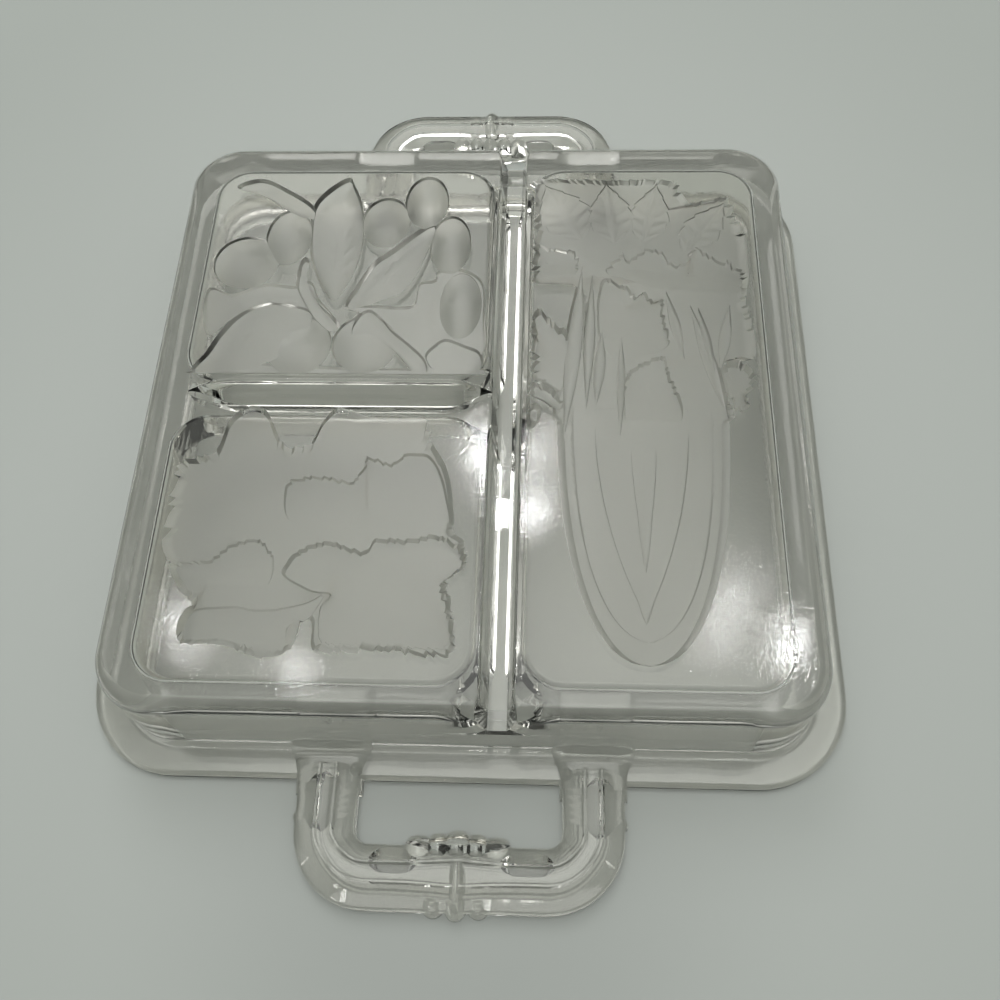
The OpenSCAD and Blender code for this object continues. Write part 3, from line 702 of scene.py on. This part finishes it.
# %% Ribs, roots and hollows
def pod(name, x, y0, y1, half, top, power=0.5):
    """A rounded rib along Y: its section is half an oval, and both its width and its height
    shrink at the ends by (1 - u^2)^power."""
    u = np.sin(np.linspace(-math.pi / 2, math.pi / 2, 19))
    size = np.maximum((1 - u**2) ** power, 0.03)
    a = np.linspace(0, math.pi, 17)
    px = x + half * size[:, None] * np.cos(a)
    pz = 0.03 + top * size[:, None] * np.sin(a) ** 0.9
    py = np.broadcast_to(((y0 + y1) / 2 + (y1 - y0) / 2 * u)[:, None], px.shape)
    return skin(name, np.stack([px, py, pz], -1))


def root(name, x):
    """A leg's root: D sections along Y, wide and tall at the wall, drawn in to the band."""
    y = np.concatenate([np.linspace(-108.0, -111.5, 3), np.linspace(-112.4, -128.5, 19)])
    way = np.clip((-y - 112.0) / 14.0, 0, 1)
    half = 13.7 - 3.0 * smooth(way, 0.0, 0.9)
    top = 6.3 + 5.2 * (1 - smooth(-y, 112.0, 117.0)) - 2.4 * smooth(-y, 125.0, 128.5)
    a = np.linspace(0, math.pi, 25)
    px = x + half[:, None] * np.sign(np.cos(a)) * np.abs(np.cos(a)) ** 0.5
    pz = 0.02 + top[:, None] * np.sin(a) ** 0.45
    return skin(name, np.stack([px, np.broadcast_to(y[:, None], px.shape), pz], -1))


def underside(name, x0, x1, y, half, deep, upright=False):
    """A roof-shaped hollow in the underside, along X or, if upright, along Y: half width and
    height both shrink at the ends by (1 - u^4), with the section (v, deep * (1 - |v|)).
    Reversing the rings after x and y are exchanged keeps the skin the right way out."""
    u = np.sin(np.linspace(-math.pi / 2, math.pi / 2, 17))
    size = np.maximum(1 - u**4, 0.03)[:, None]
    v = np.array([-1.0, -0.5, -0.06, 0.06, 0.5, 1.0, 1.03, -1.03])
    py = y + half * size * v
    pz = np.where(np.abs(v) > 1, -0.6, deep * size * (1 - np.abs(v)))
    px = np.broadcast_to(((x0 + x1) / 2 + (x1 - x0) / 2 * u)[:, None], py.shape)
    place = np.stack([py, px, pz], -1)[::-1] if upright else np.stack([px, py, pz], -1)
    return skin(name, place)


print("handle parts", [part.__name__ for part in (band, pod, root, underside)])

# %% [markdown]
# ### One handle, and the same one turned round
#
# The front handle is put together in place. The rear one is built in the same way and turned by
# half a turn, so both are the same pressing.

# %% Both handles
# x, reach past the bar's inner edge, half width and height of a flute, from the middle outwards
FLUTES = ((0, 4.9, 4.4, 7.9), (5.9, 3.9, 4.2, 7.7), (12.0, 3.1, 5.0, 7.4))


def handle_forms(tag):
    """All the forms of one handle, at the front end."""
    inside, outside = -BAR_Y + BAND_HALF, -BAR_Y - BAND_HALF
    forms = [band(), root("root_l", -LEG_X), root("root_r", LEG_X)]
    for i in range(5):
        x, reach, half, top = FLUTES[abs(i - 2)]
        forms.append(pod(f"flute_{i}", math.copysign(x, i - 2), -BAR_Y + 3.0, inside + reach,
                         half, top, 0.3))
    forms.append(pod("column", 0.4, outside + 1.0, -BAR_Y + 8.0, 3.6, 9.0, 0.2))
    for i in range(3):
        away = abs(i - 1)
        forms.append(pod(f"bead_{i}", 6.9 * (i - 1), outside - 2.2 + 0.7 * away, outside + 7.5,
                         3.9, 7.4 - 1.4 * away, 0.5))
    for i, x in enumerate((-LEG_X - 9.4, LEG_X + 9.4)):
        forms.append(pod(f"nub_{i}", x, -137.5, -133.5, 1.5, 4.6))
    for i, x in enumerate((-33.6, 33.6)):
        forms.append(pod(f"scroll_{i}", x, -123.6, -118.4, 2.6, 8.0, 0.35))
    for form in forms:
        form.name = f"{tag}_{form.name}"
    return forms


def hollows(tag):
    """The hollows in the underside: below the shell, on each side of it, and in both legs."""
    places = [
        (-14.4, 14.4, -143.1, 2.3, 2.5), (-27.5, -12.5, -148.5, 3.3, 3.1),
        (13.5, 30.0, -148.8, 3.0, 2.8),
        (-140.0, -121.0, -LEG_X - 1.5, 5.0, 3.0, True),
        (-140.0, -121.0, LEG_X + 1.5, 5.0, 3.0, True),
    ]
    return [underside(f"{tag}_hollow_{i}", *place) for i, place in enumerate(places)]


front, front_hollows = handle_forms("front"), hollows("front")
rear, rear_hollows = handle_forms("rear"), hollows("rear")
for form in rear + rear_hollows:
    form.data.transform(Matrix.Rotation(math.pi, 4, "Z"))
print("handle forms", len(front) + len(rear))

# %% [markdown]
# ## One piece of glass
#
# The real tray has no seams. If its zones stayed apart, light would bend at every border, so all
# forms become one closed skin: the handles are joined on and everything sunk is cut away.

# %% Join and cut
def combined(target, others, operation):
    """Applies one Boolean of many closed skins to the target. The Manifold solver asks for
    closed skins and gives a closed one back."""
    group = bpy.data.collections.new(operation)
    bpy.context.scene.collection.children.link(group)
    for other in others:
        bpy.context.scene.collection.objects.unlink(other)
        group.objects.link(other)
    step = target.modifiers.new(operation, "BOOLEAN")
    step.operation = operation
    step.operand_type = "COLLECTION"
    step.collection = group
    step.solver = "MANIFOLD"
    shape = target.evaluated_get(bpy.context.evaluated_depsgraph_get())
    mesh = bpy.data.meshes.new_from_object(shape)
    target.modifiers.clear()
    target.data = mesh
    for other in others:
        bpy.data.objects.remove(other)
    bpy.data.collections.remove(group)
    print(operation, len(mesh.vertices), "points", len(mesh.polygons), "faces")


combined(tray, front + rear, "UNION")
combined(tray, cutters + plants + front_hollows + rear_hollows, "DIFFERENCE")


def report_skin(mesh):
    """Counts the edges that don't join exactly two faces, and the triangles."""
    bm = bmesh.new()
    bm.from_mesh(mesh)
    open_edges = sum(not e.is_manifold for e in bm.edges)
    tris = sum(len(f.verts) - 2 for f in bm.faces)
    volume = bm.calc_volume() / MM**3
    bm.free()
    print("open edges", open_edges, "triangles", tris, "volume mm3", round(volume))


report_skin(tray.data)

# %% [markdown]
# ## Materials
#
# Glass is clear where the mould was polished, frosted in the sunk plants, where acid left a matt
# skin, and faintly grained on the flat faces. It is one glass; only its surface differs.

# %% Helpers for colours and nodes
def linear(code):
    """An sRGB hex colour as linear light, opaque: ((c + 0.055) / 1.055) ^ 2.4 above 0.04045."""
    c = np.array([int(code[i : i + 2], 16) for i in (1, 3, 5)]) / 255
    c = np.where(c <= 0.04045, c / 12.92, ((c + 0.055) / 1.055) ** 2.4)
    return (*c.tolist(), 1.0)


def new_material(name):
    """An empty node material and its output."""
    mat = bpy.data.materials.new(name)
    mat.use_nodes = True
    mat.node_tree.nodes.clear()
    return mat, mat.node_tree, mat.node_tree.nodes.new("ShaderNodeOutputMaterial")


def node(tree, kind, settings=None, **inputs):
    """Adds a node. settings are its own properties. inputs are sockets by name, with _ for a
    space, or by number, as in _0; each is given a value or a socket to link."""
    n = tree.nodes.new(kind)
    for key, value in (settings or {}).items():
        setattr(n, key, value)
    for key, value in inputs.items():
        socket = n.inputs[int(key[1:])] if key[1:].isdigit() else n.inputs[key.replace("_", " ")]
        if isinstance(value, bpy.types.NodeSocket):
            tree.links.new(value, socket)
        else:
            socket.default_value = value
    return n


print("middle grey in linear light", round(linear("#808080")[0], 3))

# %% [markdown]
# ### Three finishes of one glass
#
# A Principled shader with full transmission and an IOR of 1.5 bends light as soda-lime glass does.
# The finishes differ in roughness, in the depth of a fine grain, and a little in tint.

# %% Finishes of the glass
def glass(name, colour, rough, rough_more, grain_mm, grain_depth, wave_depth):
    """Glass with its own roughness pattern and relief: patches of 14 mm that vary the roughness,
    a fine grain of grain_mm, and slow waves of 22 mm, as a mould leaves them."""
    mat, tree, out = new_material(name)
    at = node(tree, "ShaderNodeTexCoord").outputs["Object"]
    patch = node(tree, "ShaderNodeTexNoise", Vector=at, Scale=1 / (14 * MM), Detail=3.0)
    grain = node(tree, "ShaderNodeTexNoise", Vector=at, Scale=1 / (grain_mm * MM), Detail=2.0)
    wave = node(tree, "ShaderNodeTexNoise", Vector=at, Scale=1 / (22 * MM), Detail=1.0)
    rough_at = node(tree, "ShaderNodeMapRange", Value=patch.outputs["Fac"],
                    To_Min=rough, To_Max=rough + rough_more)
    fine = node(tree, "ShaderNodeBump", Height=grain.outputs["Fac"], Strength=1.0,
                Distance=grain_depth * MM)
    broad = node(tree, "ShaderNodeBump", Height=wave.outputs["Fac"], Strength=1.0,
                 Distance=wave_depth * MM, Normal=fine.outputs["Normal"])
    body = node(tree, "ShaderNodeBsdfPrincipled", Base_Color=linear(colour), IOR=1.5,
                Transmission_Weight=1.0, Roughness=rough_at.outputs["Result"],
                Normal=broad.outputs["Normal"])
    tree.links.new(body.outputs["BSDF"], out.inputs["Surface"])
    return mat


# Pressed soda-lime glass, fire-polished: smooth, with slow waves from the mould.
clear = glass("clear_pressed_glass", "#F9F8F4", 0.0, 0.01, 1.0, 0.004, 0.14)
# The same glass, acid-etched: a matt skin that scatters light and looks a little warmer. Its real
# grain of some hundredths of a millimetre is drawn 0.4 mm coarse, so that it shows.
frosted = glass("frosted_etched_glass", "#E9E7E1", 0.36, 0.08, 0.4, 0.02, 0.1)
# The flat of the base and the compartments' floors, as the cold mould left them: a face with a
# faint grain that breaks up the windows' reflections. It is drawn 1 mm coarse, so that it shows.
grained = glass("grained_pressed_glass", "#E9E8E4", 0.0, 0.01, 1.0, 0.026, 0.12)
tray.data.materials.clear()
for finish in (clear, frosted, grained):
    tray.data.materials.append(finish)
print("materials", [m.name for m in tray.data.materials])

# %% [markdown]
# ## Which face has which finish
#
# A face belongs to a sunk plant when it lies a little below the base and over a compartment. Those
# are frosted, the flat base and the compartments' floors are grained, and all others stay clear.
# Faces meet smoothly except at crisp edges.

# %% Finishes and smooth shading
FROST_DEEP = 3.2  # mm below the base down to which a face counts as part of a plant
FLAT = 0.02  # mm within which a face counts as flat
CRISP = 32  # degrees of turn from which an edge stays crisp


def finish_skin(mesh):
    """Material by place, smooth faces, and crisp edges where faces turn by more than CRISP."""
    n = len(mesh.polygons)
    centre = np.empty(n * 3)
    mesh.polygons.foreach_get("center", centre)
    x, y, z = (centre.reshape(-1, 3) / MM).T
    sunk_z = (z > BASE_Z - FROST_DEEP) & (z < BASE_Z - FLAT)
    inside = np.zeros(n, bool)
    for x0, x1, y0, y1 in ROOMS.values():
        inside |= (x > x0 + 0.5) & (x < x1 - 0.2) & (y > y0 + 0.2) & (y < y1 - 0.5)
    flat = (np.abs(z - BASE_Z) < FLAT) | (inside & (np.abs(z - FLOOR_Z) < FLAT))
    index = np.where(sunk_z & inside, 1, np.where(flat, 2, 0))
    mesh.polygons.foreach_set("material_index", index.astype(np.int32))
    mesh.polygons.foreach_set("use_smooth", np.ones(n, bool))
    mesh.set_sharp_from_angle(angle=math.radians(CRISP))
    print("frosted faces", int((sunk_z & inside).sum()), "of", n)


finish_skin(tray.data)
# Large faces decide the shading at their edges, so that flat glass stays flat.
weighted = tray.modifiers.new("weighted_normals", "WEIGHTED_NORMAL")
weighted.keep_sharp = True
weighted.weight = 80

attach(tray, "root")
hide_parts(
    "rim", "basin_wall", "olive_floor", "leaf_floor", "celery_floor",
    "long_divider", "cross_divider", "front_handle", "rear_handle")

# %% [markdown]
# ## Floor
#
# The tray lies on a plain pale sheet. It is a wide disc just below the tray, in the grey-green
# that such card takes on in soft daylight. Its tone drifts a little at random from place to place,
# a painted pool of light makes it brighter under the tray, and painted shade darkens it round the
# front handle.

# %% The pale sheet
SHEET_Z = -0.12  # just below the tray, so that the two faces never lie in one plane
SHEET_R = 2400  # radius in mm, far past the edge of the photograph


def floor_disc(radius_mm, z_mm, rings=24, around=96):
    """A disc of rings: radius grows with the square of the ring's share, so the middle is fine."""
    a = np.linspace(0, 2 * math.pi, around, endpoint=False)
    r = radius_mm * np.linspace(0.02, 1, rings) ** 2
    flat = np.full((rings, around), z_mm)
    pts = np.stack([r[:, None] * np.cos(a), r[:, None] * np.sin(a), flat], -1)
    at = np.arange((rings - 1) * around).reshape(rings - 1, around)
    nxt = np.roll(at, -1, 1)
    quads = np.stack([at, at + around, nxt + around, nxt], -1).reshape(-1, 4)
    middle = [list(range(around))]
    mesh = bpy.data.meshes.new("pale_sheet")
    mesh.from_pydata((pts.reshape(-1, 3) * MM).tolist(), [], quads.tolist() + middle)
    obj = bpy.data.objects.new("pale_sheet", mesh)
    bpy.context.scene.collection.objects.link(obj)
    return obj


floor = floor_disc(SHEET_R, SHEET_Z)
# Matt card: no gloss to speak of, so a high roughness, and a tone that varies at random over 20 cm.
# A painted pool of light makes it brighter within 10 cm of the tray's middle, fading out by 36 cm.
sheet_mat, tree, out = new_material("pale_matt_card")
at = node(tree, "ShaderNodeTexCoord").outputs["Object"]
cloud = node(tree, "ShaderNodeTexNoise", Vector=at, Scale=5.0, Detail=2.0)
away = node(tree, "ShaderNodeVectorMath", {"operation": "LENGTH"}, _0=at)
# Painted light: the card is brighter under the tray and darker towards the margin.
painted_light_falloff = node(tree, "ShaderNodeMapRange", {"interpolation_type": "SMOOTHSTEP"},
              Value=away.outputs["Value"], From_Min=0.10, From_Max=0.36)
drift_and_painted_light = node(tree, "ShaderNodeMath", {"operation": "MULTIPLY_ADD"},
             _0=cloud.outputs["Fac"], _1=0.25, _2=painted_light_falloff.outputs["Result"])
tint = node(tree, "ShaderNodeMix", {"data_type": "RGBA"}, Factor=drift_and_painted_light.outputs["Value"])
tint.inputs["A"].default_value = linear("#BEC2C0")
tint.inputs["B"].default_value = linear("#B2B7B4")
# Painted shade: the card is darkened by up to 16 % within 12 cm of the front handle's end.
painted_shade_centre = (0.0, -0.165, 0.0)
near = node(tree, "ShaderNodeVectorMath", {"operation": "DISTANCE"}, _0=at, _1=painted_shade_centre)
painted_shade = node(tree, "ShaderNodeMapRange", {"interpolation_type": "SMOOTHSTEP"},
             Value=near.outputs["Value"], From_Min=0.02, From_Max=0.12, To_Min=0.84, To_Max=1.0)
card_with_painted_shade = node(tree, "ShaderNodeVectorMath", {"operation": "SCALE"},
             _0=tint.outputs["Result"], Scale=painted_shade.outputs["Result"])
card = node(tree, "ShaderNodeBsdfPrincipled", Base_Color=card_with_painted_shade.outputs["Vector"], Roughness=0.75)
tree.links.new(card.outputs["BSDF"], out.inputs["Surface"])
floor.data.materials.append(sheet_mat)
print("sheet at", SHEET_Z, "mm")

# %% [markdown]
# ## Light
#
# Clear glass shows only what is around it. The room is bright overhead and dark near the horizon,
# which is what draws the walls and edges of the glass. It is a little darker on the camera's side,
# and a bright patch of ceiling right above lights the tray from the top.

# %% The room
LOBE = 2.4  # how much brighter the patch of ceiling is, as a share added to the gain
ROOM = 1.66  # strength of the whole room
# The room's tone by the sine of the elevation, from the horizon to straight up.
SKY = [(0.0, "#1E1F1D"), (0.17, "#3A3C39"), (0.42, "#7C7E79"), (0.7, "#A4A6A1"),
       (0.88, "#A9ABA6"), (1.0, "#C8C9C5")]
world = bpy.data.worlds.new("room")
bpy.context.scene.world = world
world.use_nodes = True
wt = world.node_tree
wt.nodes.clear()
view = node(wt, "ShaderNodeTexCoord").outputs["Generated"]
up = node(wt, "ShaderNodeSeparateXYZ", Vector=view)
lift = node(wt, "ShaderNodeValToRGB", Fac=up.outputs["Z"])
while len(lift.color_ramp.elements) < len(SKY):
    lift.color_ramp.elements.new(0.5)
for element, (place, code) in zip(lift.color_ramp.elements, SKY):
    element.position = place
    element.color = linear(code)
front_share = node(wt, "ShaderNodeMapRange", Value=up.outputs["Y"], From_Min=-0.9, From_Max=0.4,
                   To_Min=0.55, To_Max=1.0)
lobe_way = Vector((0.0, 0.10, 0.995)).normalized()
lobe = node(wt, "ShaderNodeVectorMath", {"operation": "DOT_PRODUCT"}, _0=view, _1=lobe_way)
glow = node(wt, "ShaderNodeMapRange", {"interpolation_type": "SMOOTHSTEP"},
            Value=lobe.outputs["Value"], From_Min=0.90, From_Max=0.975, To_Min=0.0, To_Max=LOBE)
gain = node(wt, "ShaderNodeMath", {"operation": "ADD"}, _0=front_share.outputs["Result"],
            _1=glow.outputs["Result"])
sky_light = node(wt, "ShaderNodeVectorMath", {"operation": "SCALE"},
                 _0=lift.outputs["Color"], Scale=gain.outputs["Value"])
sky = node(wt, "ShaderNodeBackground", Color=sky_light.outputs["Vector"], Strength=ROOM)
wout = node(wt, "ShaderNodeOutputWorld")
wt.links.new(sky.outputs["Background"], wout.inputs["Surface"])
print("room tones", len(SKY), "strength", ROOM)

# %% [markdown]
# ### Windows and the lamp behind
#
# The patches of glare in the photograph are mirrored windows. Each small light stands where the
# base mirrors it to the camera, and shows only in the glass. One broad light behind the tray
# does the opposite: it lights the sheet and throws the soft shadow, and isn't mirrored.

# %% Windows
REAR = 4.2  # watts of the broad light behind the tray
LAMP_WAY = 1.6  # metres from each light to the spot that it faces


def window(name, where, target, size, watts, mirrored=True):
    """A rectangular area light at a place in metres, turned to face the target. A mirrored one
    is seen only in the glass; the other lights the sheet and isn't mirrored."""
    data = bpy.data.lights.new(name, "AREA")
    data.shape = "RECTANGLE"
    data.size, data.size_y = size
    data.energy = watts
    obj = bpy.data.objects.new(name, data)
    obj.location = where
    obj.rotation_mode = "QUATERNION"
    obj.rotation_quaternion = (Vector(target) - Vector(where)).to_track_quat("-Z", "Y")
    obj.visible_diffuse = not mirrored
    obj.visible_glossy = mirrored
    bpy.context.scene.collection.objects.link(obj)


def toward(spot, azimuth, elevation, way):
    """A place in metres, way metres from a spot on the base, seen at an azimuth from +Y to +X."""
    a, e = math.radians(azimuth), math.radians(elevation)
    out = Vector((math.sin(a) * math.cos(e), math.cos(a) * math.cos(e), math.sin(e)))
    return Vector(spot) + out * way


# name, the spot on the base that it faces, azimuth and elevation in degrees, size and watts
LAMPS = [
    ("lamp_middle", (0.0126, -0.034, 0.0385), -7.4, 61.0, (0.045, 0.10), 0.62),
    ("lamp_middle_high", (0.0126, -0.034, 0.0385), -2.6, 64.4, (0.085, 0.035), 0.46),
    ("lamp_middle_low", (0.0126, -0.034, 0.0385), -0.5, 60.4, (0.035, 0.03), 0.16),
    ("lamp_right", (0.099, -0.088, 0.0385), 35.0, 67.5, (0.035, 0.07), 0.40),
    ("lamp_right_arc", (0.085, -0.062, 0.0385), 26.0, 68.0, (0.012, 0.14), 0.22),
    ("lamp_left", (-0.0905, -0.0854, 0.0385), -46.0, 63.5, (0.03, 0.06), 0.24),
    ("lamp_left_low", (-0.05, -0.0942, 0.0385), -40.0, 68.5, (0.02, 0.06), 0.16),
]
for name, spot, azimuth, elevation, size, watts in LAMPS:
    window(name, toward(spot, azimuth, elevation, LAMP_WAY), spot, size, watts)
middle = (0, 0, 0)
window("lamp_rear", toward(middle, -14.0, 52.0, LAMP_WAY), middle, (0.7, 0.7), REAR, mirrored=False)

# %% [markdown]
# ## Camera
#
# The photograph was taken from the front and above, a little to the right, with a wide lens. The
# camera's place, turn and lens were solved from the square outline of the tray.

# %% The camera
PLACE = Vector((27.33, -189.81, 339.47))  # in mm
FOCAL_PX = 1045.1  # focal length in pixels of a photograph that is PHOTO_PX wide
PHOTO_PX = 1000
SENSOR = 36.0  # mm
yaw, pitch, roll = (math.radians(a) for a in (-6.195, 63.586, -4.872))
ahead = Vector((math.sin(yaw) * math.cos(pitch), math.cos(yaw) * math.cos(pitch), -math.sin(pitch)))
right = Vector((math.cos(yaw), -math.sin(yaw), 0))
above = right.cross(ahead)
right_r = right * math.cos(roll) + above * math.sin(roll)
above_r = -right * math.sin(roll) + above * math.cos(roll)
camera = bpy.data.objects.new("camera", bpy.data.cameras.new("camera"))
bpy.context.scene.collection.objects.link(camera)
turn = Matrix((right_r, above_r, -ahead)).transposed().to_4x4()
camera.matrix_world = Matrix.Translation(PLACE * MM) @ turn
camera.data.sensor_width = SENSOR
camera.data.lens = SENSOR * FOCAL_PX / PHOTO_PX
camera.data.clip_start = 0.01
bpy.context.scene.camera = camera
bpy.context.scene.view_settings.view_transform = "Standard"
print("camera lens", round(camera.data.lens, 2), "mm")
